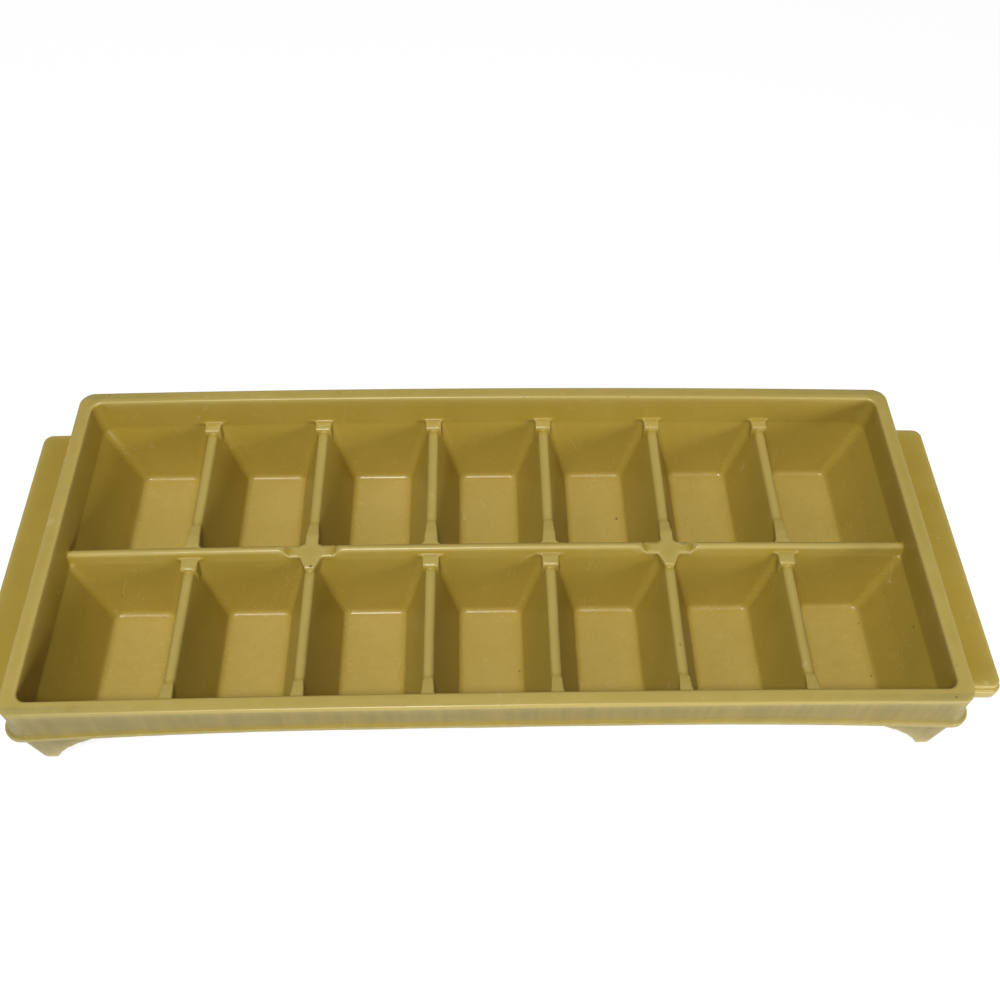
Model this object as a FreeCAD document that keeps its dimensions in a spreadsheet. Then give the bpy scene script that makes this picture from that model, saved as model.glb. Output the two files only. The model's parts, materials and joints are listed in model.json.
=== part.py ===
import FreeCAD, Part
import os
import Sketcher

# Twist ice tray, moulded in one piece: two rows of tapered cells inside a rim with a skirt,
# two end tabs to twist it by and four corner feet. The moulding is divided here into the
# regions that a person would name. They meet face to face and don't come apart.
# Millimetres, +Z up, X along the tray, the front long side towards -Y. The origin is in the
# middle of the plane that the feet stand on.

doc = FreeCAD.newDocument("ice_tray")
sheet = doc.addObject("Spreadsheet::Sheet", "Sizes")

sizes = [
    ("rimLength", 280.0, "outer length of the rim"),
    ("rimWidth", 120.0, "outer width of the rim"),
    ("trayHeight", 38.0, "feet to rim top"),
    ("cellsPerRow", 7, "cells along each row"),
    ("rimFlat", 4.6, "width of the flat rim top"),
    ("rimThick", 1.6, "thickness of the rim top"),
    ("rimCorner", 5.0, "outer corner radius of the rim, seen from above"),
    ("tubCorner", 3.4, "inner corner radius of the rim, seen from above"),
    ("rimEdge", 0.5, "rounding of the rim's outer top edge"),
    ("wallThick", 1.5, "thickness of the cell walls and the band wall"),
    ("floorThick", 1.5, "thickness of the cell floors"),
    ("bandDepth", 12.0, "rim top to the top of the cells"),
    ("tubInset", 0.9, "how far the band wall leans in over its height"),
    ("cavityDepth", 36.2, "rim top to the cell floors"),
    ("landThick", 1.6, "thickness of the web that joins the cells at their tops"),
    ("ridgeThick", 3.0, "thickness of a cross divider at the top of the cells"),
    ("centreThick", 4.4, "thickness of the centre divider at the top of the cells"),
    ("crossRun", 7.5, "how far a cross wall leans in down to the floor"),
    ("sideRun", 5.7, "how far a long side wall leans in down to the floor"),
    ("centreRun", 5.8, "how far a centre wall leans in down to the floor"),
    ("endRun", 9.8, "how far an end wall leans in down to the floor"),
    ("wallCorner", 3.0, "upright corner radius of a cell beside the band wall"),
    ("centreCorner", 2.4, "upright corner radius of a cell beside the centre divider"),
    ("floorCorner", 2.6, "upright corner radius of a cell at its floor"),
    ("floorFillet", 1.9, "rounding between walls and floor inside a cell"),
    ("underFillet", 3.8, "rounding under a cell"),
    ("ridgeRise", 0.7, "height of a cross divider's rounded top over the cells"),
    ("landRise", 1.6, "height of the flat lands over the cells"),
    ("centreRise", 3.5, "height of the centre divider over the cells"),
    ("crestWidth", 2.5, "width of the centre divider's rounded crest"),
    ("crestRise", 0.7, "height of the rounded crest alone"),
    ("crestCorner", 3.2, "rounding of the centre divider where it stops at a star land"),
    ("blockLength", 4.2, "length of the short land at the rear end of a cross divider"),
    ("blockWidth", 5.4, "width of that short land"),
    ("flareLength", 4.7, "length of the flat land at the front end of a cross divider"),
    ("flareWidth", 4.9, "width of that flat land at its front end"),
    ("rampLength", 4.8, "length of the ramp from a cross divider up to its front land"),
    ("landHalf", 7.4, "half width of a land before the cells cut its sides"),
    ("starFront", 6.6, "reach of a star land towards the front"),
    ("starRear", 6.4, "reach of a star land's flat towards the rear"),
    ("starArm", 4.1, "width of a star land's rear arm"),
    ("starFlare", 7.0, "width of a star land's front arm at the centre divider"),
    ("postDepth", 7.0, "how far the lands' sides run down into the cell walls"),
    ("skirtThick", 1.4, "thickness of the skirt"),
    ("skirtMiddle", 12.9, "rim top to the skirt's lower edge in the middle of a long side"),
    ("skirtEnd", 16.5, "rim top to the skirt's lower edge at the corners"),
    ("endFlare", 2.2, "how far the lower part of the skirt leans out at the ends"),
    ("flareDepth", 7.0, "rim top to where the skirt starts to lean out"),
    ("archFlat", 90.0, "length of the straight middle of the arched lower edge"),
    ("beadProud", 0.7, "how far the bead along the lower edge stands out"),
    ("beadTall", 1.9, "height of the bead along the lower edge"),
    ("footWeb", 2.2, "thickness of a foot's webs"),
    ("footInset", 0.8, "how far a foot's faces stand back from the skirt"),
    ("footLeanAlong", 1.8, "how far a foot leans in along the tray on the way down"),
    ("footLeanAcross", 2.2, "how far a foot leans in across the tray on the way down"),
    ("footBottom", 5.8, "width of a foot where it stands"),
    ("footAlong", 37.8, "length of a foot along a long side, where it meets the skirt"),
    ("footAcross", 14.0, "length of a foot across an end, where it meets the skirt"),
    ("footRise", 1.0, "how far a foot reaches up behind the bead"),
    ("footArch", 38.5, "radius of the curved inner edge of a foot"),
    ("footCorner", 3.2, "corner radius of a foot where it stands"),
    ("tabReach", 13.8, "how far an end tab stands out from the rim"),
    ("tabWidth", 100.4, "width of an end tab across the tray"),
    ("tabDrop", 10.3, "rim top to the top of an end tab"),
    ("tabStep", 2.4, "height of a tab's upper step"),
    ("tabBottom", 16.1, "rim top to the lower edge of an end tab"),
    ("tabLip", 0.9, "how far a tab's lip stands out under its upper step"),
    ("tabCorner", 3.0, "corner radius of an end tab, seen from above"),
    ("tabPlate", 1.8, "thickness of a tab's plate and lip wall"),
    ("tabEdge", 0.6, "rounding of a tab's top edge"),
    ("beyond", 10.0, "how far a trimming shape reaches past what it trims"),
]
for row, (name, value, note) in enumerate(sizes, start=1):
    sheet.set("A%d" % row, name)
    sheet.set("B%d" % row, str(value))
    sheet.set("C%d" % row, note)
    sheet.setAlias("B%d" % row, name)
doc.recompute()

cellCount = int(round(float(sheet.cellsPerRow)))
tolerance = 1e-4
flush = "(0)"
yMiddle = "(0)"
zStand = "(0)"
tabDepth = "(Sizes.tabBottom - Sizes.tabDrop)"

# Expressions that several sub-parts share.
halfX = "(Sizes.rimLength / 2)"
halfY = "(Sizes.rimWidth / 2)"
tubX = "(Sizes.rimLength / 2 - Sizes.rimFlat)"
tubY = "(Sizes.rimWidth / 2 - Sizes.rimFlat)"
bandX = "(Sizes.rimLength / 2 - Sizes.rimFlat - Sizes.tubInset)"
bandY = "(Sizes.rimWidth / 2 - Sizes.rimFlat - Sizes.tubInset)"
pitch = "(%s * 2 / Sizes.cellsPerRow)" % bandX
zBand = "(Sizes.trayHeight - Sizes.bandDepth)"
zFloor = "(Sizes.trayHeight - Sizes.cavityDepth)"
zUnder = "(Sizes.trayHeight - Sizes.cavityDepth - Sizes.floorThick)"


def number(expression):
    """Value of an expression as a plain number."""
    value = sheet.evalExpression(expression)
    return float(getattr(value, "Value", value))


def columnX(index):
    """Expression for the middle of column 1 to cellsPerRow."""
    return "((%d - (Sizes.cellsPerRow + 1) / 2) * %s)" % (index, pitch)


def dividerX(index):
    """Expression for the middle of the cross divider after column index."""
    return "((%d - Sizes.cellsPerRow / 2) * %s)" % (index, pitch)


def newBody(label):
    body = doc.addObject("PartDesign::Body", label)
    body.Label = label
    return body


def newSketch(body, name, plane, offset):
    """Empty sketch on one of the body's origin planes, moved along its normal."""
    sketch = body.newObject("Sketcher::SketchObject", body.Name + "_" + name)
    support = [f for f in body.Origin.OriginFeatures if f.Role == plane][0]
    sketch.AttachmentSupport = [(support, "")]
    sketch.MapMode = "FlatFace"
    sketch.setExpression("AttachmentOffset.Base.z", offset)
    return sketch


def bindPoint(sketch, geometry, position, xExpression, yExpression):
    """Ties one end of a line or arc to two expressions."""
    for kind, expression in (("DistanceX", xExpression), ("DistanceY", yExpression)):
        index = sketch.addConstraint(
            Sketcher.Constraint(kind, -1, 1, geometry, position, number(expression)))
        sketch.setExpression("Constraints[%d]" % index, expression)


def drawRounded(sketch, x0, x1, y0, y1, radii):
    """Rectangle with its corners rounded. radii start at the corner x0, y0 and go round
    anticlockwise, and a radius of None leaves the corner sharp."""
    corners = [(x0, y0), (x1, y0), (x1, y1), (x0, y1)]
    steps = [(1, 0), (0, 1), (-1, 0), (0, -1)]
    starts = []
    ends = []
    for k in range(4):
        radius = radii[k]
        cx, cy = corners[k]
        dx, dy = steps[k]
        px, py = steps[k - 1]
        if radius is None:
            starts.append((cx, cy))
            ends.append((cx, cy))
            continue
        starts.append(("%s + %d * %s" % (cx, dx, radius), "%s + %d * %s" % (cy, dy, radius)))
        ends.append(("%s - %d * %s" % (cx, px, radius), "%s - %d * %s" % (cy, py, radius)))
    lines = []
    for k in range(4):
        a = starts[k]
        b = ends[(k + 1) % 4]
        lines.append(sketch.addGeometry(Part.LineSegment(
            FreeCAD.Vector(number(a[0]), number(a[1]), 0),
            FreeCAD.Vector(number(b[0]), number(b[1]), 0)), False))
    for k in range(4):
        bindPoint(sketch, lines[k], 1, *starts[k])
        if radii[(k + 1) % 4] is None:
            sketch.addConstraint(Sketcher.Constraint(
                "Coincident", lines[k], 2, lines[(k + 1) % 4], 1))
        else:
            bindPoint(sketch, lines[k], 2, *ends[(k + 1) % 4])
    for k in range(4):
        radius = radii[k]
        if radius is None:
            continue
        drawCorner(sketch, lines[k - 1], lines[k], ends[k], starts[k], corners[k], radius)


def drawCorner(sketch, before, after, start, end, corner, radius):
    """Arc from the end of one line to the start of the next."""
    r = number(radius)
    a = FreeCAD.Vector(number(start[0]), number(start[1]), 0)
    b = FreeCAD.Vector(number(end[0]), number(end[1]), 0)
    c = FreeCAD.Vector(number(corner[0]), number(corner[1]), 0)
    centre = a + b - c
    outward = c - centre
    outward.normalize()
    arc = sketch.addGeometry(Part.Arc(a, centre + outward * r, b), False)
    first, last = arcEnds(sketch, arc, a)
    sketch.addConstraint(Sketcher.Constraint("Coincident", before, 2, arc, first))
    sketch.addConstraint(Sketcher.Constraint("Coincident", after, 1, arc, last))
    index = sketch.addConstraint(Sketcher.Constraint("Radius", arc, r))
    sketch.setExpression("Constraints[%d]" % index, radius)


def arcEnds(sketch, arc, start):
    """Which end of an arc lies at start, then the other one."""
    if sketch.getPoint(arc, 1).distanceToPoint(start) < tolerance:
        return 1, 2
    return 2, 1


def drawOutline(sketch, points):
    """Closed outline. Each point is (x, y) or (x, y, radius, bulge): the edge that starts at
    it is then an arc of that radius, bulging to the left for 1 or to the right for -1."""
    edges = []
    count = len(points)
    for k in range(count):
        a = FreeCAD.Vector(number(points[k][0]), number(points[k][1]), 0)
        nxt = points[(k + 1) % count]
        b = FreeCAD.Vector(number(nxt[0]), number(nxt[1]), 0)
        if len(points[k]) == 2:
            edges.append((sketch.addGeometry(Part.LineSegment(a, b), False), 1, 2))
            continue
        radius, bulge = points[k][2:]
        r = number(radius)
        chord = b - a
        side = FreeCAD.Vector(-chord.y, chord.x, 0)
        side.normalize()
        sagitta = r - (r * r - (chord.Length / 2) ** 2) ** 0.5
        arc = sketch.addGeometry(Part.Arc(a, (a + b) / 2 + side * sagitta * bulge, b), False)
        first, last = arcEnds(sketch, arc, a)
        edges.append((arc, first, last))
        index = sketch.addConstraint(Sketcher.Constraint("Radius", arc, r))
        sketch.setExpression("Constraints[%d]" % index, radius)
    for k in range(count):
        geometry, first, last = edges[k]
        bindPoint(sketch, geometry, first, points[k][0], points[k][1])
        following = edges[(k + 1) % count]
        sketch.addConstraint(Sketcher.Constraint(
            "Coincident", geometry, last, following[0], following[1]))


def pad(body, name, sketch, length, reverse=False):
    feature = body.newObject("PartDesign::Pad", body.Name + "_" + name)
    feature.Profile = sketch
    feature.Length = number(length)
    feature.setExpression("Length", length)
    feature.Reversed = reverse
    return feature


def loft(body, name, lower, upper, cut=False):
    kind = "PartDesign::SubtractiveLoft" if cut else "PartDesign::AdditiveLoft"
    feature = body.newObject(kind, body.Name + "_" + name)
    feature.Profile = lower
    feature.Sections = [upper]
    feature.Ruled = True
    return feature


def filletEdges(body, name, radius, chosen):
    """Rounds the edges of a body's last feature for which chosen(edge) is true. The body
    has been recomputed before."""
    base = body.Tip
    names = ["Edge%d" % (k + 1) for k, edge in enumerate(base.Shape.Edges) if chosen(edge)]
    feature = body.newObject("PartDesign::Fillet", body.Name + "_" + name)
    feature.Base = (base, names)
    feature.Radius = number(radius)
    feature.setExpression("Radius", radius)
    return feature


def atHeight(edge, height):
    box = edge.BoundBox
    return abs(box.ZMin - height) < tolerance and abs(box.ZMax - height) < tolerance


def combine(kind, label, shapes):
    """Part boolean of two or more objects: Part::MultiFuse or Part::MultiCommon."""
    feature = doc.addObject(kind, label)
    feature.Label = label
    feature.Shapes = shapes
    return feature


def cutFrom(label, base, tool):
    feature = doc.addObject("Part::Cut", label)
    feature.Label = label
    feature.Base = base
    feature.Tool = tool
    return feature


def block(label, x0, x1, y0, y1, z0, z1):
    """Box between two corners given as expressions."""
    box = doc.addObject("Part::Box", label)
    box.Label = label
    for axis, low in (("x", x0), ("y", y0), ("z", z0)):
        box.setExpression("Placement.Base." + axis, low)
    for side, low, high in (("Length", x0, x1), ("Width", y0, y1), ("Height", z0, z1)):
        box.setExpression(side, "(%s) - (%s)" % (high, low))
    return box


nodes = []

# Cells. Each one is drawn about the middle of its column and placed by an expression. The
# lands between the cells stand on uprights, which are left solid in the walls.

def cellBounds(index, row):
    """Expressions for the cell's sides at its top and at its floor, about its own column.
    row is 1 for the rear row and -1 for the front row."""
    left = "(-(%s - Sizes.ridgeThick) / 2)" % pitch
    right = "((%s - Sizes.ridgeThick) / 2)" % pitch
    leftRun = "Sizes.crossRun"
    rightRun = "Sizes.crossRun"
    if index == 1:
        left = "(-%s - %s)" % (bandX, columnX(index))
        leftRun = "Sizes.endRun"
    if index == cellCount:
        right = "(%s - %s)" % (bandX, columnX(index))
        rightRun = "Sizes.endRun"
    inner = "(Sizes.centreThick / 2)"
    low = "(%s)" % inner if row > 0 else "(-%s)" % bandY
    high = "(%s)" % bandY if row > 0 else "(-%s)" % inner
    lowRun = "Sizes.centreRun" if row > 0 else "Sizes.sideRun"
    highRun = "Sizes.sideRun" if row > 0 else "Sizes.centreRun"
    top = (left, right, low, high)
    floor = ("(%s + %s)" % (left, leftRun), "(%s - %s)" % (right, rightRun),
             "(%s + %s)" % (low, lowRun), "(%s - %s)" % (high, highRun))
    return top, floor


def cavity(index, row, name):
    """The space inside one cell, with a straight part above it that trims what stands between
    the cells."""
    top, floor = cellBounds(index, row)
    body = newBody("cavity_" + name)
    wall = "Sizes.wallCorner"
    centre = "Sizes.centreCorner"
    radii = [centre, centre, wall, wall] if row > 0 else [wall, wall, centre, centre]
    upper = newSketch(body, "top", "XY_Plane", zBand)
    drawRounded(upper, *top, radii)
    lower = newSketch(body, "floor", "XY_Plane", zFloor)
    drawRounded(lower, *floor, ["Sizes.floorCorner"] * 4)
    loft(body, "taper", lower, upper)
    above = newSketch(body, "above", "XY_Plane", zBand)
    drawRounded(above, *top, radii)
    pad(body, "throat", above, "(Sizes.centreRise + Sizes.beyond)")
    body.setExpression("Placement.Base.x", columnX(index))
    return body


def shell(index, row, name):
    """The outside of one cell: a flat web at its top and a tapered cup below."""
    top, floor = cellBounds(index, row)
    half = "(%s / 2)" % pitch
    x0 = "(-%s)" % half if index > 1 else "(%s - Sizes.wallThick)" % top[0]
    x1 = half if index < cellCount else "(%s + Sizes.wallThick)" % top[1]
    y0 = yMiddle if row > 0 else "(%s - Sizes.wallThick)" % top[2]
    y1 = "(%s + Sizes.wallThick)" % top[3] if row > 0 else yMiddle
    body = newBody("shell_" + name)
    web = newSketch(body, "web", "XY_Plane", zBand)
    drawRounded(web, x0, x1, y0, y1, [None] * 4)
    pad(body, "land", web, "Sizes.landThick", reverse=True)
    zWeb = "(%s - Sizes.landThick)" % zBand
    upper = newSketch(body, "upper", "XY_Plane", zWeb)
    outer = "(Sizes.wallCorner + Sizes.wallThick)"
    drawRounded(upper, x0, x1, y0, y1, [outer] * 4)
    lower = newSketch(body, "lower", "XY_Plane", zUnder)
    drawRounded(lower, "(%s - Sizes.wallThick)" % floor[0], "(%s + Sizes.wallThick)" % floor[1],
                "(%s - Sizes.wallThick)" % floor[2], "(%s + Sizes.wallThick)" % floor[3],
                ["(Sizes.floorCorner + Sizes.wallThick)"] * 4)
    loft(body, "cup", lower, upper)
    body.setExpression("Placement.Base.x", columnX(index))
    return body


centreHalf = "(Sizes.centreThick / 2)"
ridgeHalf = "(Sizes.ridgeThick / 2)"
starTip = "(Sizes.starRear + Sizes.rampLength)"
stars = (2, cellCount - 2)
rows = (("rear", 1), ("front", -1))


def post(name, x, points):
    """Upright that keeps the sides of a land solid down to the cell walls. points is its plan
    on the +X side, from the rear to the front."""
    body = newBody("post_" + name)
    sketch = newSketch(body, "plan", "XY_Plane", "(%s - Sizes.postDepth)" % zBand)
    mirrored = [("(-1 * %s)" % px, py) for px, py in reversed(points)]
    drawOutline(sketch, points + mirrored)
    pad(body, "upright", sketch, "(Sizes.postDepth + Sizes.centreRise + 2 * Sizes.beyond)")
    body.setExpression("Placement.Base.x", x)
    return body


def postsAt(index):
    """The uprights of both rows at one cross divider, by row."""
    x = dividerX(index)
    found = {}
    for rowName, row in rows:
        yRear = bandY if row > 0 else "(-1 * %s)" % centreHalf
        yFront = centreHalf if row > 0 else "(-1 * %s)" % bandY
        blockHalf = "(Sizes.blockWidth / 2)"
        rear = [(blockHalf, yRear), (blockHalf, "(%s - Sizes.blockLength)" % yRear)]
        flareHalf = "(Sizes.flareWidth / 2)"
        front = [(ridgeHalf, "(%s + Sizes.flareLength + Sizes.rampLength)" % yFront),
                 (flareHalf, yFront)]
        if index in stars and row > 0:
            armHalf = "(Sizes.starArm / 2)"
            front = [(ridgeHalf, starTip), (armHalf, "Sizes.starRear"), (armHalf, yFront)]
        if index in stars and row < 0:
            rear = [("(Sizes.starFlare / 2)", yRear), (ridgeHalf, "(-1 * Sizes.starFront)")]
        name = "%s_%d" % (rowName, index)
        found[row] = [post(name + "_rear", x, rear), post(name + "_front", x, front)]
    return found


posts = {index: postsAt(index) for index in range(1, cellCount)}
cavities = {}
shells = {}
for rowName, row in rows:
    for index in range(1, cellCount + 1):
        name = "%s_%d" % (rowName, index)
        cavities[row, index] = cavity(index, row, name)
        shells[row, index] = shell(index, row, name)
doc.recompute()
for row, index in shells:
    place = (row, index)
    filletEdges(cavities[place], "round", "Sizes.floorFillet",
                lambda edge: atHeight(edge, number(zFloor)))
    filletEdges(shells[place], "round", "Sizes.underFillet",
                lambda edge: atHeight(edge, number(zUnder)))
    beside = doc.addObject("Part::Compound", "posts_%d_%d" % (row + 1, index))
    beside.Links = [one for side in (index - 1, index) if side in posts
                    for one in posts[side][row]]
    label = shells[place].Label.replace("shell", "cell")
    cavities[place] = cutFrom(label.replace("cell", "hollow"), cavities[place], beside)
    nodes.append(cutFrom(label, shells[place], cavities[place]))


def hollowed(label, base, sides):
    """Cuts the cells in the given rows beside divider index from a shape over the cells."""
    around = doc.addObject("Part::Compound", "around_" + label)
    around.Links = [cavities[row, index + step] for row, index in sides for step in (0, 1)]
    return cutFrom(label, base, around)


# Cross dividers: a low rounded ridge between two cells, a short land at its rear end and a
# ramp with a land at its front end. The cells cut the hollow sides of the lands.

def profileAcross(body, name, offset, points):
    """Outline in the plane across X, given as (y, z), at X = offset."""
    sketch = newSketch(body, name, "YZ_Plane", offset)
    drawOutline(sketch, points)
    return sketch


def ridge(name, x, y0, y1):
    """Rounded bar from y0 to y1 on top of the web between two cells."""
    body = newBody("ridge_" + name)
    sketch = newSketch(body, "section", "XZ_Plane", "(-1 * %s)" % y1)
    half = "(Sizes.ridgeThick / 2)"
    radius = "((Sizes.ridgeThick * Sizes.ridgeThick / 4 + Sizes.ridgeRise * Sizes.ridgeRise)" \
             " / (2 * Sizes.ridgeRise))"
    drawOutline(sketch, [
        ("(-%s)" % half, zBand, radius, 1),
        (half, zBand)])
    pad(body, "bar", sketch, "(%s - (%s))" % (y1, y0))
    body.setExpression("Placement.Base.x", x)
    return body


def land(name, x, points):
    """Slab over the cells with the given (y, z) outline, wider than what the cells leave."""
    body = newBody("land_" + name)
    sketch = profileAcross(body, "section", "(-1 * Sizes.landHalf)", points)
    pad(body, "slab", sketch, "(2 * Sizes.landHalf)")
    body.setExpression("Placement.Base.x", x)
    return body


zRidge = "(%s + Sizes.ridgeRise)" % zBand
zLand = "(%s + Sizes.landRise)" % zBand


def rearLand(yEnd):
    """Outline of the short land whose rear end is at yEnd."""
    start = "(%s - Sizes.blockLength)" % yEnd
    return [(yEnd, zBand), (yEnd, zLand), (start, zLand), (start, zBand)]


def frontLand(yEnd):
    """Outline of a ramp and a flat whose front end is at yEnd."""
    flatEnd = "(%s + Sizes.flareLength)" % yEnd
    tip = "(%s + Sizes.rampLength)" % flatEnd
    return [(yEnd, zBand), (tip, zBand), (tip, zRidge), (flatEnd, zLand), (yEnd, zLand)]


for rowName, row in rows:
    for index in range(1, cellCount):
        name = "%s_%d" % (rowName, index)
        x = dividerX(index)
        yRear = bandY if row > 0 else "(-1 * %s)" % centreHalf
        yFront = centreHalf if row > 0 else "(-1 * %s)" % bandY
        starBehind = index in stars and row < 0
        starAhead = index in stars and row > 0
        barRear = "(-1 * Sizes.starFront)" if starBehind else "(%s - Sizes.blockLength)" % yRear
        barFront = starTip if starAhead else "(%s + Sizes.flareLength)" % yFront
        pieces = [ridge(name, x, barFront, barRear)]
        if not starBehind:
            pieces.append(land(name + "_rear", x, rearLand(yRear)))
        if not starAhead:
            pieces.append(land(name + "_front", x, frontLand(yFront)))
        joined = combine("Part::MultiFuse", "bar_" + name, pieces)
        nodes.append(hollowed("cross_divider_" + name, joined, [(row, index)]))

# Star lands: flat four-pointed lands where the centre divider is left open at two crossings.
for side, index in (("left", stars[0]), ("right", stars[1])):
    front = "(-1 * Sizes.starFront)"
    slab = land("star_" + side, dividerX(index), [
        (front, zBand), (starTip, zBand), (starTip, zRidge), ("Sizes.starRear", zLand),
        (front, zLand)])
    nodes.append(hollowed("star_land_" + side, slab, [(1, index), (-1, index)]))

# Centre divider: a crest along the middle in three lengths, rounded down at the star lands.

def crest(label, x0, x1, roundLeft, roundRight):
    body = newBody("crest_" + label)
    half = "(Sizes.crestWidth / 2)"
    zCrest = "(%s + Sizes.centreRise)" % zBand
    zSide = "(%s - Sizes.crestRise)" % zCrest
    radius = "((Sizes.crestWidth * Sizes.crestWidth / 4 + Sizes.crestRise * Sizes.crestRise)" \
             " / (2 * Sizes.crestRise))"
    section = profileAcross(body, "section", x0, [
        ("(-1 * %s)" % centreHalf, zBand), ("(-%s)" % half, zSide, radius, 1),
        (half, zSide), (centreHalf, zBand)])
    pad(body, "length", section, "(%s - (%s))" % (x1, x0))
    outline = newBody("side_" + label)
    sketch = newSketch(outline, "section", "XZ_Plane", "(-1 * %s)" % centreHalf)
    zTurn = "(%s - Sizes.crestCorner)" % zCrest
    left = [(x0, zBand), (x0, zCrest)]
    if roundLeft:
        left = [(x0, zBand), (x0, zTurn, "Sizes.crestCorner", 1),
                ("(%s + Sizes.crestCorner)" % x0, zCrest)]
    right = [(x1, zCrest), (x1, zBand)]
    if roundRight:
        right = [("(%s - Sizes.crestCorner)" % x1, zCrest, "Sizes.crestCorner", 1),
                 (x1, zTurn), (x1, zBand)]
    drawOutline(sketch, left + right)
    pad(outline, "slab", sketch, "Sizes.centreThick")
    return combine("Part::MultiCommon", label, [body, outline])


starLeft = dividerX(stars[0])
starRight = dividerX(stars[1])
nodes.append(crest("centre_divider_left", "(-%s)" % bandX,
                   "(%s - Sizes.landHalf)" % starLeft, False, True))
nodes.append(crest("centre_divider_middle", "(%s + Sizes.landHalf)" % starLeft,
                   "(%s - Sizes.landHalf)" % starRight, True, True))
nodes.append(crest("centre_divider_right", "(%s + Sizes.landHalf)" % starRight, bandX,
                   True, False))

# Rim: the flat top with the band wall inside it, in four lengths.

rimBody = newBody("rim_ring")
zRimUnder = "(Sizes.trayHeight - Sizes.rimThick)"
topSketch = newSketch(rimBody, "flat", "XY_Plane", "Sizes.trayHeight")
drawRounded(topSketch, "(-%s)" % halfX, halfX, "(-%s)" % halfY, halfY, ["Sizes.rimCorner"] * 4)
pad(rimBody, "plate", topSketch, "Sizes.rimThick", reverse=True)
outerLow = newSketch(rimBody, "outer_low", "XY_Plane", zBand)
wallRadius = ["(Sizes.tubCorner + Sizes.wallThick)"] * 4
drawRounded(outerLow, "(-%s - Sizes.wallThick)" % bandX, "(%s + Sizes.wallThick)" % bandX,
            "(-%s - Sizes.wallThick)" % bandY, "(%s + Sizes.wallThick)" % bandY, wallRadius)
outerHigh = newSketch(rimBody, "outer_high", "XY_Plane", zRimUnder)
wallShift = "(Sizes.tubInset * Sizes.rimThick / Sizes.bandDepth - Sizes.wallThick)"
drawRounded(outerHigh, "(-%s + %s)" % (tubX, wallShift), "(%s - %s)" % (tubX, wallShift),
            "(-%s + %s)" % (tubY, wallShift), "(%s - %s)" % (tubY, wallShift), wallRadius)
loft(rimBody, "wall", outerLow, outerHigh)
innerLow = newSketch(rimBody, "inner_low", "XY_Plane", zBand)
drawRounded(innerLow, "(-%s)" % bandX, bandX, "(-%s)" % bandY, bandY, ["Sizes.tubCorner"] * 4)
innerHigh = newSketch(rimBody, "inner_high", "XY_Plane", "Sizes.trayHeight")
drawRounded(innerHigh, "(-%s)" % tubX, tubX, "(-%s)" % tubY, tubY, ["Sizes.tubCorner"] * 4)
loft(rimBody, "tub", innerLow, innerHigh, cut=True)
doc.recompute()
filletEdges(rimBody, "edge", "Sizes.rimEdge",
            lambda edge: atHeight(edge, number("Sizes.trayHeight")))

# Skirt: an upright strip outside with a bead along its lower edge. The long sides are arched,
# and the ends carry the four rounded corners.

zSkirtEnd = "(Sizes.trayHeight - Sizes.skirtEnd)"
zBeadTop = "(%s + Sizes.beadTall)" % zSkirtEnd
cornerX = "(%s - Sizes.rimCorner)" % halfX
ringBody = newBody("skirt_ring")


def ringSketch(name, height, flare, grow):
    """Outline of the skirt at one height, longer by flare at each end and larger by grow."""
    sketch = newSketch(ringBody, name, "XY_Plane", height)
    endX = "(%s + %s + %s)" % (halfX, flare, grow)
    sideY = "(%s + %s)" % (halfY, grow)
    drawRounded(sketch, "(-1 * %s)" % endX, endX, "(-1 * %s)" % sideY, sideY,
                ["(Sizes.rimCorner + %s)" % grow] * 4)
    return sketch


zFlare = "(Sizes.trayHeight - Sizes.flareDepth)"
inward = "(-1 * Sizes.skirtThick)"
pad(ringBody, "strip_pad", ringSketch("strip", zRimUnder, flush, flush),
    "(Sizes.flareDepth - Sizes.rimThick)", reverse=True)
loft(ringBody, "flare", ringSketch("flare_low", zSkirtEnd, "Sizes.endFlare", flush),
     ringSketch("flare_high", zFlare, flush, flush))
pad(ringBody, "bead_pad", ringSketch("bead", zBeadTop, "Sizes.endFlare", "Sizes.beadProud"),
    "Sizes.beadTall", reverse=True)
loft(ringBody, "flare_hollow", ringSketch("inside_low", zSkirtEnd, "Sizes.endFlare", inward),
     ringSketch("inside_high", zFlare, flush, inward), cut=True)
hollow = ringBody.newObject("PartDesign::Pocket", "skirt_ring_hollow")
hollow.Profile = ringSketch("inside", zFlare, flush, inward)
hollow.Type = "ThroughAll"
hollow.Reversed = True

rimSplit = "(%s - Sizes.tubCorner)" % bandX
farX = "(%s + Sizes.tabReach + Sizes.beyond)" % halfX
farY = "(%s + Sizes.beyond)" % halfY
zTopCut = "(Sizes.trayHeight + Sizes.beyond)"
for side, sign in (("left", -1), ("right", 1)):
    for ring, split in (("rim", rimSplit), ("skirt", cornerX)):
        near = "(%d * %s)" % (sign, split)
        far = "(%d * %s)" % (sign, farX)
        low, high = (near, far) if sign > 0 else (far, near)
        region = block("%s_end_%s" % (ring, side), low, high, "(-%s)" % farY, farY, zStand, zTopCut)
        source = rimBody if ring == "rim" else ringBody
        nodes.append(combine("Part::MultiCommon", "%s_%s" % (ring, side), [source, region]))

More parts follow.
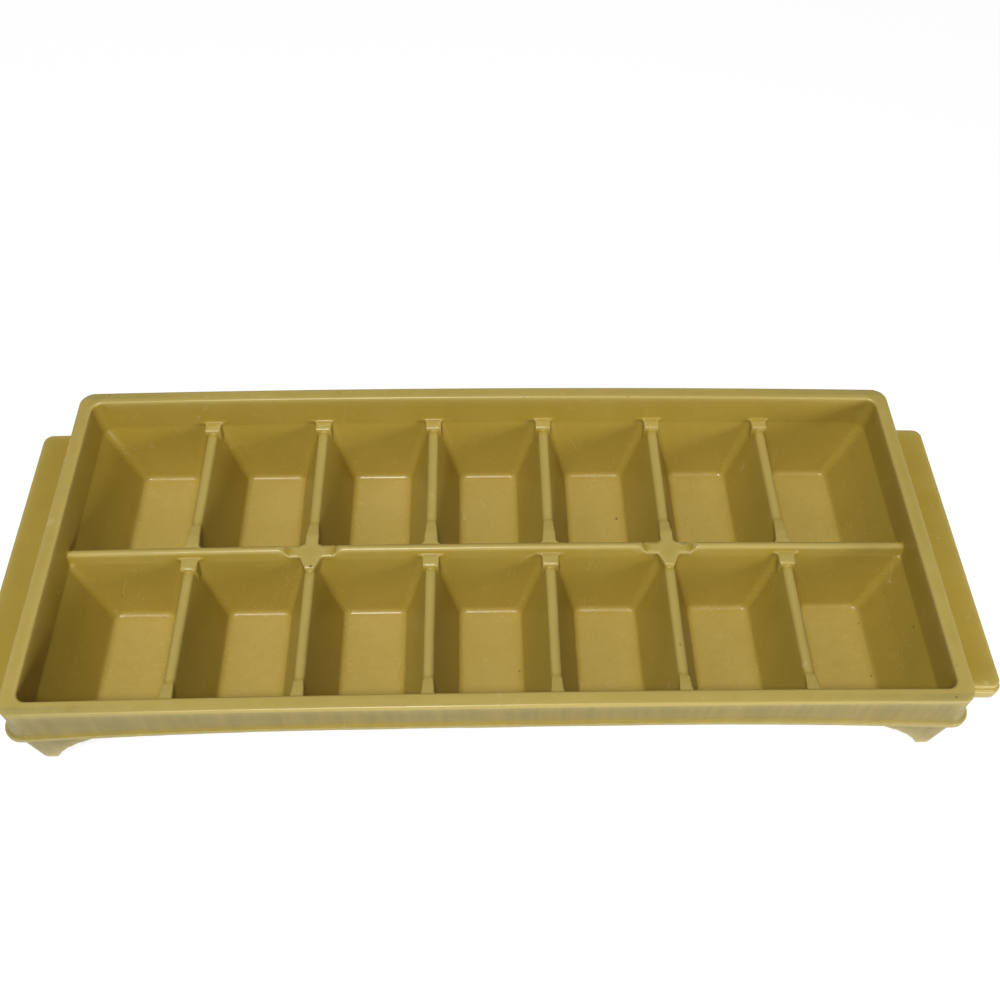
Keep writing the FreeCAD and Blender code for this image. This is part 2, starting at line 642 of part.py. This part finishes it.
archHalf = "(Sizes.archFlat / 2)"
archSpan = "(%s - %s)" % (cornerX, archHalf)
archDrop = "(Sizes.skirtEnd - Sizes.skirtMiddle)"
archRadius = "((%s * %s + %s * %s) / (2 * %s))" % (archSpan, archSpan, archDrop, archDrop, archDrop)
zArch = "(Sizes.trayHeight - Sizes.skirtMiddle)"
zArchBead = "(%s + Sizes.beadTall)" % zArch
archEdge = [("(-%s)" % cornerX, zSkirtEnd, archRadius, 1), ("(-%s)" % archHalf, zArch),
            (archHalf, zArch, archRadius, 1), (cornerX, zSkirtEnd)]
stripTop = [(cornerX, zRimUnder), ("(-%s)" % cornerX, zRimUnder)]
beadTop = [(cornerX, zBeadTop, archRadius, -1), (archHalf, zArchBead),
           ("(-%s)" % archHalf, zArchBead, archRadius, -1), ("(-%s)" % cornerX, zBeadTop)]
for side, y in (("front", 1), ("rear", -1)):
    region = block("rim_long_" + side, "(-%s)" % rimSplit, rimSplit,
                   "(-%s)" % farY if y > 0 else yMiddle,
                   yMiddle if y > 0 else farY, zStand, zTopCut)
    nodes.append(combine("Part::MultiCommon", "rim_" + side, [rimBody, region]))
    body = newBody("skirt_" + side)
    innerFace = "(-%s + Sizes.skirtThick)" % halfY
    strip = newSketch(body, "strip", "XZ_Plane", halfY if y > 0 else innerFace)
    drawOutline(strip, archEdge + stripTop)
    pad(body, "wall", strip, "Sizes.skirtThick", reverse=True)
    beadFace = "(%s + Sizes.beadProud)" % halfY
    bead = newSketch(body, "bead", "XZ_Plane", beadFace if y > 0 else innerFace)
    drawOutline(bead, archEdge + beadTop)
    pad(body, "edge", bead, "(Sizes.skirtThick + Sizes.beadProud)", reverse=True)
    nodes.append(body)

# Feet: an upright web along each of the two sides at every corner, arched on the inner edge.

skirts = doc.addObject("Part::Compound", "all_skirts")
skirts.Links = [n for n in nodes if n.Label.startswith("skirt_")]
zFootTop = "(%s + Sizes.footRise)" % zBeadTop
footX = "(%s + Sizes.endFlare - Sizes.footInset)" % halfX
footY = "(%s - Sizes.footInset)" % halfY
feet = []


def footProfile(body, plane, outer, lean, length, sign):
    """A foot seen from one side. outer is where its outer face is along that side."""
    spread = "(%s - %s)" % (outer, length)
    sketch = newSketch(body, "side", plane, "(-1 * %s)" % farX)
    points = [(outer, zFootTop), (spread, zFootTop), (spread, zBeadTop, "Sizes.footArch", sign),
              ("(%s - %s - Sizes.footBottom)" % (outer, lean), zStand), (outer, zStand)]
    drawOutline(sketch, [("(%d * %s)" % (sign, q[0]),) + q[1:] for q in points])
    return pad(body, "slab", sketch, "(2 * %s)" % farX)


def footPlan(body, name, height, leanX, leanY, radius, sx, sy):
    """Plan at one height of a foot's two webs, which meet round the corner."""
    x = "(%s - %s)" % (footX, leanX)
    y = "(%s - %s)" % (footY, leanY)
    inner = "(%s - Sizes.footWeb)" % radius
    turn = sx * sy
    points = [("(%s - Sizes.footAlong)" % x, y), ("(%s - %s)" % (x, radius), y, radius, turn),
              (x, "(%s - %s)" % (y, radius)), (x, "(%s - Sizes.footAcross)" % y),
              ("(%s - Sizes.footWeb)" % x, "(%s - Sizes.footAcross)" % y),
              ("(%s - Sizes.footWeb)" % x, "(%s - %s)" % (y, radius), inner, -turn),
              ("(%s - %s)" % (x, radius), "(%s - Sizes.footWeb)" % y),
              ("(%s - Sizes.footAlong)" % x, "(%s - Sizes.footWeb)" % y)]
    sketch = newSketch(body, name, "XY_Plane", height)
    drawOutline(sketch, [("(%d * %s)" % (sx, q[0]), "(%d * %s)" % (sy, q[1])) + q[2:]
                         for q in points])
    return sketch


for rowName, sy in (("front", -1), ("rear", 1)):
    for side, sx in (("left", -1), ("right", 1)):
        name = "corner_foot_%s_%s" % (rowName, side)
        along = newBody(name + "_along")
        footProfile(along, "XZ_Plane", footX, "Sizes.footLeanAlong", "Sizes.footAlong", sx)
        across = newBody(name + "_across")
        footProfile(across, "YZ_Plane", footY, "Sizes.footLeanAcross", "Sizes.footAcross", sy)
        plan = newBody(name + "_plan")
        low = footPlan(plan, "low", zStand, "Sizes.footLeanAlong", "Sizes.footLeanAcross",
                       "Sizes.footCorner", sx, sy)
        high = footPlan(plan, "high", zFootTop, flush, flush,
                        "(Sizes.rimCorner - Sizes.footInset)", sx, sy)
        loft(plan, "webs", low, high)
        webs = combine("Part::MultiCommon", name + "_webs", [along, across, plan])
        feet.append(cutFrom(name, webs, skirts))
nodes.extend(feet)

# End tabs: a shelf outside each end with a lip round its lower edge, hollow underneath.

zTabTop = "(Sizes.trayHeight - Sizes.tabDrop)"
zTabUnder = "(Sizes.trayHeight - Sizes.tabBottom)"


def tabSketch(body, name, sx, top, reach, half, radius):
    """Plan of a tab at one height. sx is 1 for the right end and -1 for the left end."""
    x0 = "(%d * %s)" % (sx, halfX)
    x1 = "(%d * (%s + %s))" % (sx, halfX, reach)
    sketch = newSketch(body, name, "XY_Plane", top)
    if sx > 0:
        drawRounded(sketch, x0, x1, "(-%s)" % half, half, [None, radius, radius, None])
    else:
        drawRounded(sketch, x1, x0, "(-%s)" % half, half, [radius, None, None, radius])
    return sketch


halfTab = "(Sizes.tabWidth / 2)"
tabs = []
rootX = "(%s + Sizes.endFlare - Sizes.skirtThick)" % halfX
behindSkirts = block("behind_skirts", "(-1 * %s)" % rootX, rootX, "(-%s)" % farY, farY, zStand,
                     "(%s - Sizes.tabPlate)" % zTabTop)
beside = doc.addObject("Part::Compound", "beside_tabs")
beside.Links = skirts.Links + feet + [behindSkirts]
for side, sx in (("left", -1), ("right", 1)):
    body = newBody("tab_" + side)
    step = tabSketch(body, "step", sx, zTabTop, "Sizes.tabReach", halfTab, "Sizes.tabCorner")
    pad(body, "shelf", step, tabDepth, reverse=True)
    lip = tabSketch(body, "lip", sx, zTabUnder, "(Sizes.tabReach + Sizes.tabLip)",
                    "(%s + Sizes.tabLip)" % halfTab, "(Sizes.tabCorner + Sizes.tabLip)")
    pad(body, "edge", lip, "(%s - Sizes.tabStep)" % tabDepth)
    under = tabSketch(body, "under", sx, zTabUnder, "(Sizes.tabReach - Sizes.tabPlate)",
                      "(%s - Sizes.tabPlate)" % halfTab, "(Sizes.tabCorner - Sizes.tabPlate)")
    recess = body.newObject("PartDesign::Pocket", body.Name + "_recess")
    recess.Profile = under
    recess.Reversed = True
    recess.setExpression("Length", "(%s - Sizes.tabPlate)" % tabDepth)
    tabs.append(body)
doc.recompute()
for body in tabs:
    filletEdges(body, "round", "Sizes.tabEdge",
                lambda edge: atHeight(edge, number(zTabTop))
                and abs(edge.CenterOfMass.x) > number(halfX) + tolerance)
    nodes.append(cutFrom("end_" + body.Label, body, beside))
doc.recompute()

# Everything is looked at before anything is written.

for feature in doc.Objects:
    if "Invalid" in feature.State or "Error" in feature.State:
        raise RuntimeError("%s did not compute: %s" % (feature.Label, feature.State))
for node in nodes:
    shape = node.Shape
    if shape.isNull() or not shape.isValid() or len(shape.Solids) != 1:
        raise RuntimeError("%s is not one valid solid" % node.Label)
os.makedirs("parts", exist_ok=True)
for node in nodes:
    node.Shape.exportStep("parts/%s.step" % node.Label)
    print("%-24s %8.1f mm3" % (node.Label, node.Shape.Volume))
print("%d nodes" % len(nodes))
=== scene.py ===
import json
import math

import bmesh
import bpy
import numpy as np
from mathutils import Euler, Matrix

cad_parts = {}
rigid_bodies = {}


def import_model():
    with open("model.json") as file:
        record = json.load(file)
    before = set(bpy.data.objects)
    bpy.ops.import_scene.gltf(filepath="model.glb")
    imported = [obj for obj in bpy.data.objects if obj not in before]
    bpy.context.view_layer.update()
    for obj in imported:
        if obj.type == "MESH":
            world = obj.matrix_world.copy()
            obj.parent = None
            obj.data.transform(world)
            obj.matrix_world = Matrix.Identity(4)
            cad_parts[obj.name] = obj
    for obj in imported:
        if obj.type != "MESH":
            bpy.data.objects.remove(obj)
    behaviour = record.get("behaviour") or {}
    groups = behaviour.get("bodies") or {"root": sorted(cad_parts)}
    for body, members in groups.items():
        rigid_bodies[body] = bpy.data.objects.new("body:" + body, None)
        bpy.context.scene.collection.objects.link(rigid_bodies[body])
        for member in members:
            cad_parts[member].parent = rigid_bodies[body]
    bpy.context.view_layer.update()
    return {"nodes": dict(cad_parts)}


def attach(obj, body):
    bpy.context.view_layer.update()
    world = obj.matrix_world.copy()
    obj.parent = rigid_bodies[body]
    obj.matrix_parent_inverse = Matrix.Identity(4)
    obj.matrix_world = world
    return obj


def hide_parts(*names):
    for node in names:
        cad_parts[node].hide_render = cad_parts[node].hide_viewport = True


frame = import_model()
scene = bpy.context.scene
nodeNames = sorted(frame["nodes"])
print("frame loaded:", len(nodeNames), "nodes")

# camera first, so that every view of the work is the photograph's
cameraLook = {
    "place": (-0.00442, -0.18731, 0.31462),
    "turn": (35.556, -1.241, -1.509),       # degrees
    "sensor": 36.0,                         # mm, as is the lens
    "lens": 38.21,
    "shift": (-0.0113, 0.0038),
    "clip": (0.01, 20.0),
}


def makeCamera(look):
    lensData = bpy.data.cameras.new("photoCamera")
    lensData.sensor_width = look["sensor"]
    lensData.lens = look["lens"]
    lensData.shift_x, lensData.shift_y = look["shift"]
    lensData.clip_start, lensData.clip_end = look["clip"]
    camera = bpy.data.objects.new("photoCamera", lensData)
    camera.location = look["place"]
    camera.rotation_euler = Euler([math.radians(a) for a in look["turn"]])
    scene.collection.objects.link(camera)
    scene.camera = camera


makeCamera(cameraLook)
print("camera placed")

# the tray: one moulding, fused from its regions and softened the way a mould leaves it
traySizes = {
    "weld": 1e-7,               # corners of one region closer than this become one
    "voxel": 0.0004,
    "soften": 2,                # smoothing passes over the remeshed skin
    "softenFactor": 0.5,
    "keepFaces": 0.3,           # share of faces left after thinning
    "bow": 0.0020,              # the ends sit this much lower than the middle
    "bowSpan": 0.140,
    "bowFrom": 0.016,           # the bow fades out below this height, so the feet stand flat
}


def bakeModifier(piece, kind, **values):
    modifier = piece.modifiers.new(kind.lower(), kind)
    for name, value in values.items():
        setattr(modifier, name, value)
    shown = piece.evaluated_get(bpy.context.evaluated_depsgraph_get())
    piece.data = bpy.data.meshes.new_from_object(shown)
    piece.modifiers.clear()


def weldedCopy(name, sizes):
    source = frame["nodes"][name]
    skin = source.data.copy()
    skin.transform(source.matrix_world)
    skin.materials.clear()
    work = bmesh.new()
    work.from_mesh(skin)
    bmesh.ops.remove_doubles(work, verts=work.verts, dist=sizes["weld"])
    work.to_mesh(skin)
    work.free()
    return bpy.data.objects.new("copy_" + name, skin)


def fuseRegions(sizes):
    regions = bpy.data.collections.new("regions")
    scene.collection.children.link(regions)
    for name in nodeNames[1:]:
        regions.objects.link(weldedCopy(name, sizes))
    fused = weldedCopy(nodeNames[0], sizes)
    fused.name = "trayMoulding"
    scene.collection.objects.link(fused)
    bakeModifier(fused, "BOOLEAN", operation="UNION", operand_type="COLLECTION",
                 collection=regions, solver="MANIFOLD")
    for piece in list(regions.objects):
        bpy.data.objects.remove(piece)
    bpy.data.collections.remove(regions)
    return fused


def readVectors(skin, layer):
    values = np.empty(len(skin.vertices) * 3, np.float32)
    skin.vertices.foreach_get(layer, values)
    return values.reshape(-1, 3)


def bowSkin(skin, sizes):
    points = readVectors(skin, "co")
    share = np.clip(points[:, 2] / sizes["bowFrom"], 0, 1)
    points[:, 2] -= sizes["bow"] * (points[:, 0] / sizes["bowSpan"]) ** 2 * share
    skin.vertices.foreach_set("co", points.ravel())
    skin.update()


tray = fuseRegions(traySizes)
print("regions fused:", len(tray.data.polygons), "faces")
bakeModifier(tray, "REMESH", mode="VOXEL", voxel_size=traySizes["voxel"])
bakeModifier(tray, "LAPLACIANSMOOTH", iterations=traySizes["soften"],
             lambda_factor=traySizes["softenFactor"])
bowSkin(tray.data, traySizes)
bakeModifier(tray, "DECIMATE", ratio=traySizes["keepFaces"])
tray.data.polygons.foreach_set("use_smooth", [True] * len(tray.data.polygons))
print("tray softened:", len(tray.data.polygons), "faces")

# wear and painted crease shade follow how far each point stands out of its smoothed surroundings
wearAndShadeSizes = {
    "passes": 14,
    "edge": 0.00022,            # a point this proud is fully worn
    "crease": 0.00030,          # and one this deep gets the full painted crease shade
}


def paintWearAndShade(skin, sizes):
    count = len(skin.vertices)
    points = readVectors(skin, "co").astype(float)
    normals = readVectors(skin, "normal")
    pairs = np.empty(len(skin.edges) * 2, np.int32)
    skin.edges.foreach_get("vertices", pairs)
    pairs = pairs.reshape(-1, 2)
    start, end = np.concatenate([pairs, pairs[:, ::-1]]).T
    share = 1 / np.maximum(np.bincount(start, minlength=count), 1)
    smooth = points
    for step in range(sizes["passes"]):
        smooth = np.stack([np.bincount(start, smooth[end, axis], count) * share
                           for axis in range(3)], axis=1)
    proud = ((points - smooth) * normals).sum(axis=1)
    # the second layer is painted shade: sunk points, in creases and corners, get a darker tone
    for name, values in (("edgeWear", proud / sizes["edge"]), ("creaseShade", -proud / sizes["crease"])):
        layer = skin.attributes.new(name, "FLOAT", "POINT")
        layer.data.foreach_set("value", np.clip(values, 0, 1).astype(np.float32))


paintWearAndShade(tray.data, wearAndShadeSizes)
print("wear painted")


# node helpers: feeds are links or plain values, settings are the node's own properties
def addNode(tree, kind, feeds, **settings):
    node = tree.nodes.new(kind)
    for name, value in settings.items():
        setattr(node, name, value)
    for key, source in feeds.items():
        if isinstance(source, bpy.types.NodeSocket):
            tree.links.new(source, node.inputs[key])
        else:
            node.inputs[key].default_value = source
    return node


def ramp(tree, value, low, high, toLow=0.0, toHigh=1.0):
    return addNode(tree, "ShaderNodeMapRange", {
        "Value": value, "From Min": low, "From Max": high, "To Min": toLow,
        "To Max": toHigh}).outputs[0]


def maths(tree, operation, first, second=0.0):
    return addNode(tree, "ShaderNodeMath", {0: first, 1: second}, operation=operation).outputs[0]


def times(tree, first, second):
    return maths(tree, "MULTIPLY", first, second)


def plus(tree, first, *others):
    for other in others:
        first = maths(tree, "ADD", first, other)
    return first


def useGroup(tree, group, **feeds):
    return addNode(tree, "ShaderNodeGroup", feeds, node_tree=group).outputs


def tint(tree, below, colour, amount):
    factor, first, second = 0, 6, 7         # the colour sockets of a Mix node
    return addNode(tree, "ShaderNodeMix", {factor: amount, first: below, second: colour},
                   data_type="RGBA").outputs[2]


# shared shader effects, each a group of its own
def newGroup(name, inputs, outputs):
    group = bpy.data.node_groups.new(name, "ShaderNodeTree")
    for label, value in inputs.items():
        kind = "NodeSocketVector" if isinstance(value, tuple) else "NodeSocketFloat"
        socket = group.interface.new_socket(name=label, in_out="INPUT", socket_type=kind)
        socket.default_value = value
    for label in outputs:
        group.interface.new_socket(name=label, in_out="OUTPUT", socket_type="NodeSocketFloat")
    start = group.nodes.new("NodeGroupInput").outputs
    end = group.nodes.new("NodeGroupOutput").inputs
    return group, start, end


scratchSizes = {
    "detail": 1.5,
    "curl": 0.6,
    "shift": (0.31, 0.17, 0.43),    # keeps the breaks from following the lines
    "breaks": 1.7,                  # size of the breaks against the lines
    "breakEdge": 0.04,
}


def scratchGroup(sizes):        # thin curved lines, broken into short lengths
    group, start, end = newGroup(
        "hairScratches", {"Vector": (0, 0, 0), "Scale": 60.0, "Width": 0.01, "Cover": 0.3},
        ["Mask"])
    wander = addNode(group, "ShaderNodeTexNoise", {
        "Vector": start["Vector"], "Scale": start["Scale"], "Detail": sizes["detail"],
        "Distortion": sizes["curl"]})
    offset = maths(group, "ABSOLUTE", maths(group, "SUBTRACT", wander.outputs[0], 0.5))
    line = ramp(group, offset, 0.0, start["Width"], 1.0, 0.0)
    shift = addNode(group, "ShaderNodeVectorMath", {0: start["Vector"], 1: sizes["shift"]},
                    operation="ADD")
    patches = addNode(group, "ShaderNodeTexNoise", {
        "Vector": shift.outputs[0], "Scale": times(group, start["Scale"], sizes["breaks"]),
        "Detail": 1.0})
    edge = maths(group, "SUBTRACT", 0.75, times(group, start["Cover"], 0.5))
    kept = ramp(group, maths(group, "SUBTRACT", patches.outputs[0], edge), 0.0,
                sizes["breakEdge"])
    group.links.new(times(group, line, kept), end["Mask"])
    return group


def speckGroup():       # small round specks, gathered in clusters
    group, start, end = newGroup(
        "fineSpecks", {"Vector": (0, 0, 0), "Scale": 900.0, "Radius": 0.25, "Share": 0.1,
                       "Cluster": 60.0, "Gather": 0.0}, ["Mask"])
    cells = addNode(group, "ShaderNodeTexVoronoi", {
        "Vector": start["Vector"], "Scale": start["Scale"]})
    dot = ramp(group, cells.outputs["Distance"], start["Radius"],
               times(group, start["Radius"], 0.5))
    pick = addNode(group, "ShaderNodeSeparateColor", {0: cells.outputs["Color"]})
    few = maths(group, "LESS_THAN", pick.outputs[0], start["Share"])
    gather = addNode(group, "ShaderNodeTexNoise", {
        "Vector": start["Vector"], "Scale": start["Cluster"], "Detail": 2.0})
    near = ramp(group, plus(group, gather.outputs[0], start["Gather"]), 0.48, 0.66)
    group.links.new(times(group, times(group, dot, few), near), end["Mask"])
    return group


# each layer of the flow: noise scale, detail and stretch along the axes
flowLayers = {
    "Patches": (34.0, 3.0, (1, 1, 1)),
    "Streaks": (420.0, 2.0, (1, 1, 0.06)),
    "Mottle": (520.0, 3.0, (1, 1, 0.5)),
    "Grain": (2600.0, 1.0, (1, 1, 1)),
    "Waves": (70.0, 1.0, (1, 1, 0.5)),
}


def flowGroup(layers):      # soft patches and upright streaks of the moulding, with a fine grain
    group, start, end = newGroup("mouldFlow", {"Vector": (0, 0, 0)}, list(layers))
    for label, (scale, detail, stretch) in layers.items():
        place = addNode(group, "ShaderNodeVectorMath", {0: start["Vector"], 1: stretch},
                        operation="MULTIPLY")
        noise = addNode(group, "ShaderNodeTexNoise", {
            "Vector": place.outputs[0], "Scale": scale, "Detail": detail})
        group.links.new(ramp(group, noise.outputs[0], 0.3, 0.7), end[label])
    return group


def spotGroup():        # one soft round mark at a place on the tray, used as painted shade of a small dent
    group, start, end = newGroup(
        "dentShadeSpot", {"Vector": (0, 0, 0), "Centre": (0, 0, 0), "Radius": 0.001}, ["Mask"])
    far = addNode(group, "ShaderNodeVectorMath", {0: start["Vector"], 1: start["Centre"]},
                  operation="DISTANCE")
    group.links.new(ramp(group, far.outputs["Value"], start["Radius"],
                         times(group, start["Radius"], 0.6)), end["Mask"])
    return group


# plastic
plasticLook = {
    "colour": (0.43, 0.308, 0.052, 1),
    # a darker tone of the plastic, for random patches and for painted crease shade
    "deep": (0.365, 0.252, 0.029, 1),
    # grey of the scuffed skirt, darkened further as painted shade on its outer sides
    "scuffAndShade": (0.215, 0.175, 0.040, 1),
    "worn": (0.60, 0.49, 0.17, 1),
    # a lighter copy of the plastic, painted as sheen on the cell floors
    "floorSheen": (0.66, 0.51, 0.19, 1),
    # light colour for real scratches and for painted glints
    "scratchAndGlint": (0.66, 0.58, 0.30, 1),
    # dark colour for dirt specks and for the painted shade of small dents
    "dirtAndDentShade": (0.085, 0.055, 0.015, 1),
    "roughness": 0.31,
    "refraction": 1.49,
    "floorTop": 0.0040,         # the painted sheen covers what lies below this height
    "floorLow": 0.0022,
    "cupTop": 0.026,            # painted glint specks fade in between these heights
    "cupLow": 0.018,
    "skirtFace": 0.0568,        # scuffs and painted shade show on what stands outside this half width
    "skirtFade": 0.0006,
    "skirtTop": 0.0372,         # and below this height
    "skirtLow": 0.0362,
    # painted shade of small dents, as dark spots: place and radius in metres
    "dentShades": ((-0.0572, -0.0059, 0.0272, 0.0007), (-0.0887, -0.0034, 0.0276, 0.0008),
              (0.0459, 0.0291, 0.0018, 0.0006)),
}

# how strongly each effect shows; a pair is the even part and the part that varies
plasticShares = {
    "patches": 0.5,
    "mottle": 0.18,
    # the skirt's even part is painted shade as well as scuffing, the varying part its streaks
    "streaks": (0.55, 0.3),
    # painted sheen on the cell floors: the even part and the part that varies
    "floorSheen": (0.20, 0.12),
    "worn": 0.45,
    # painted crease shade: how much the darker tone shows in creases
    "creaseShade": 0.6,
    "shortScratches": 0.7,
    "scratches": 0.35,
    # painted glints, as light specks in the cups
    "glintSpecks": 0.5,
    "darkSpecks": 0.75,
    "gather": 0.14,             # painted glint specks sit thicker where the painted crease shade does
}
scratchLook = {
    "long": {"Scale": 48.0, "Width": 0.006, "Cover": 0.22},
    "short": {"Scale": 150.0, "Width": 0.014, "Cover": 0.20},
}
speckLook = {
    # the light specks are painted glints
    "light": {"Scale": 1300.0, "Radius": 0.36, "Share": 0.22, "Cluster": 90.0},
    "dark": {"Scale": 330.0, "Radius": 0.15, "Share": 0.05, "Cluster": 22.0},
}
roughShares = {"patches": 0.09, "marks": 0.25, "streaks": 0.18}
bumpLook = {
    "distance": 0.00022,        # metres at a height of 1
    "grain": 0.02,
    "scratches": 0.12,
    "specks": 0.10,
    "streaks": 0.05,
}


def makePlastic(look, shares):
    material = bpy.data.materials.new("goldPlastic")
    material.use_nodes = True
    tree = material.node_tree
    shader = tree.nodes["Principled BSDF"]
    where = tree.nodes.new("ShaderNodeTexCoord").outputs["Object"]
    split = addNode(tree, "ShaderNodeSeparateXYZ", {0: where}).outputs
    flow = useGroup(tree, flowGroup(flowLayers), Vector=where)
    wear = addNode(tree, "ShaderNodeAttribute", {}, attribute_name="edgeWear").outputs["Fac"]
    # painted shade in creases, read from the sunk points
    creaseShade = addNode(tree, "ShaderNodeAttribute", {}, attribute_name="creaseShade").outputs["Fac"]

    # marks
    lines = scratchGroup(scratchSizes)
    long = useGroup(tree, lines, Vector=where, **scratchLook["long"])["Mask"]
    short = useGroup(tree, lines, Vector=where, **scratchLook["short"])["Mask"]
    scratches = maths(tree, "MAXIMUM", long, times(tree, short, shares["shortScratches"]))
    specks = speckGroup()
    # painted glints, as light specks
    light = useGroup(tree, specks, Vector=where, **speckLook["light"],
                     Gather=times(tree, creaseShade, shares["gather"]))["Mask"]
    dark = useGroup(tree, specks, Vector=where, **speckLook["dark"])["Mask"]
    # painted shade of small dents, as dark round spots
    dentShadeSpot = spotGroup()
    for *centre, radius in look["dentShades"]:
        mark = useGroup(tree, dentShadeSpot, Vector=where, Centre=centre, Radius=radius)["Mask"]
        dark = maths(tree, "MAXIMUM", dark, mark)

    # where on the tray
    inCups = ramp(tree, split["Z"], look["cupTop"], look["cupLow"])
    onFloors = ramp(tree, split["Z"], look["floorTop"], look["floorLow"])
    outside = ramp(tree, maths(tree, "ABSOLUTE", split["Y"]), look["skirtFace"],
                   look["skirtFace"] + look["skirtFade"])
    onSkirt = times(tree, outside, ramp(tree, split["Z"], look["skirtTop"], look["skirtLow"]))

    uneven = plus(tree, times(tree, flow["Patches"], shares["patches"]),
                  times(tree, flow["Mottle"], shares["mottle"]))
    # the skirt: scuffs with upright streaks, and painted shade darkening its outer front and rear
    # sides
    evenScuffShade, fineStreak = shares["streaks"]
    skirtScuffShade = times(tree, onSkirt, plus(tree, evenScuffShade,
                                       times(tree, flow["Streaks"], fineStreak)))
    # painted sheen: the cell floors get a lighter tone
    evenSheen, fineSheen = shares["floorSheen"]
    floorSheen = times(tree, onFloors, plus(tree, evenSheen, times(tree, flow["Mottle"], fineSheen)))
    # real scratches, and painted glints as light specks in the cups
    scratchesAndGlints = maths(tree, "MAXIMUM", times(tree, scratches, shares["scratches"]),
                       times(tree, light, times(tree, inCups, shares["glintSpecks"])))
    colour = look["colour"]
    # the layers: random darker patches, scuffs and painted shade on the skirt, painted sheen on
    # the floors, wear on convex edges, painted shade in creases, scratches with painted glints,
    # dirt specks with painted dent shade
    for above, amount in (
            ("deep", uneven), ("scuffAndShade", skirtScuffShade), ("floorSheen", floorSheen),
            ("worn", times(tree, wear, shares["worn"])),
            ("deep", times(tree, creaseShade, shares["creaseShade"])), ("scratchAndGlint", scratchesAndGlints),
            ("dirtAndDentShade", times(tree, dark, shares["darkSpecks"]))):
        colour = tint(tree, colour, look[above], amount)
    tree.links.new(colour, shader.inputs["Base Color"])

    rough = plus(tree, look["roughness"], times(tree, flow["Patches"], roughShares["patches"]),
                 times(tree, scratchesAndGlints, roughShares["marks"]),
                 times(tree, skirtScuffShade, roughShares["streaks"]))
    tree.links.new(rough, shader.inputs["Roughness"])

    height = plus(tree, flow["Waves"], times(tree, flow["Grain"], bumpLook["grain"]))
    height = maths(tree, "SUBTRACT", height, times(tree, scratches, bumpLook["scratches"]))
    height = plus(tree, height, times(tree, light, bumpLook["specks"]),
                  times(tree, times(tree, flow["Streaks"], onSkirt), bumpLook["streaks"]))
    bump = addNode(tree, "ShaderNodeBump", {
        "Height": height, "Strength": 1.0, "Distance": bumpLook["distance"]})
    tree.links.new(bump.outputs[0], shader.inputs["Normal"])
    shader.inputs["IOR"].default_value = look["refraction"]
    return material


tray.data.materials.clear()
tray.data.materials.append(makePlastic(plasticLook, plasticShares))
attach(tray, "root")
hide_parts(*nodeNames)
print("plastic made")

# floor and light
stageLook = {
    "floorSize": 4.0,
    "floorColour": (0.80, 0.80, 0.80, 1),
    "floorRoughness": 0.9,
    "floorShine": 0.1,
    "white": (1, 1, 1, 1),
    "glow": 0.90,               # what the camera and reflections see of the floor at least
    "shadowShare": 0.20,        # how much of the floor's own shading the camera sees
    "fill": 0.04,               # what the surroundings give the tray
    "backdrop": 1.0,            # and what the camera sees of them
}


def makeFloor(look):
    half = look["floorSize"] / 2
    skin = bpy.data.meshes.new("floor")
    skin.from_pydata([(-half, -half, 0), (half, -half, 0), (half, half, 0), (-half, half, 0)],
                     [], [(0, 1, 2, 3)])
    floor = bpy.data.objects.new("floor", skin)
    scene.collection.objects.link(floor)
    material = bpy.data.materials.new("paleFloor")
    material.use_nodes = True
    tree = material.node_tree
    shader = tree.nodes["Principled BSDF"]
    shader.inputs["Base Color"].default_value = look["floorColour"]
    shader.inputs["Roughness"].default_value = look["floorRoughness"]
    shader.inputs["Specular IOR Level"].default_value = look["floorShine"]
    path = tree.nodes.new("ShaderNodeLightPath").outputs
    seen = maths(tree, "MAXIMUM", path["Is Camera Ray"], maths(
        tree, "MAXIMUM", path["Is Glossy Ray"], path["Is Transmission Ray"]))
    glow = addNode(tree, "ShaderNodeEmission", {"Color": look["white"], "Strength": look["glow"]})
    shade = addNode(tree, "ShaderNodeMixShader", {0: look["shadowShare"], 2: shader.outputs[0]})
    white = addNode(tree, "ShaderNodeAddShader", {0: glow.outputs[0], 1: shade.outputs[0]})
    mixed = addNode(tree, "ShaderNodeMixShader", {
        0: seen, 1: shader.outputs[0], 2: white.outputs[0]})
    tree.links.new(mixed.outputs[0], tree.nodes["Material Output"].inputs["Surface"])
    skin.materials.append(material)


lampLook = {
    "key": {"place": (-0.16, -0.55, 1.17), "size": 0.22, "power": 13.7},
    "left": {"place": (-0.75, -0.10, 1.05), "size": 0.25, "power": 0.7},
    "frontRight": {"place": (0.55, -0.60, 0.18), "size": 0.2, "power": 2.7},
}


def makeLamps(lamps):
    for name, lamp in lamps.items():
        data = bpy.data.lights.new(name, "AREA")
        data.size = lamp["size"]
        data.energy = lamp["power"]
        light = bpy.data.objects.new(name, data)
        light.location = lamp["place"]
        aim = -light.location
        light.rotation_euler = aim.to_track_quat("-Z", "Y").to_euler()
        scene.collection.objects.link(light)


def makeWorld(look):
    world = bpy.data.worlds.new("studio")
    scene.world = world
    world.use_nodes = True
    tree = world.node_tree
    seen = tree.nodes.new("ShaderNodeLightPath").outputs["Is Camera Ray"]
    background = tree.nodes["Background"]
    background.inputs["Color"].default_value = look["white"]
    strength = ramp(tree, seen, 0.0, 1.0, look["fill"], look["backdrop"])
    tree.links.new(strength, background.inputs["Strength"])


makeFloor(stageLook)
makeLamps(lampLook)
makeWorld(stageLook)
scene.view_settings.view_transform = "Standard"
print("stage and lamps ready")
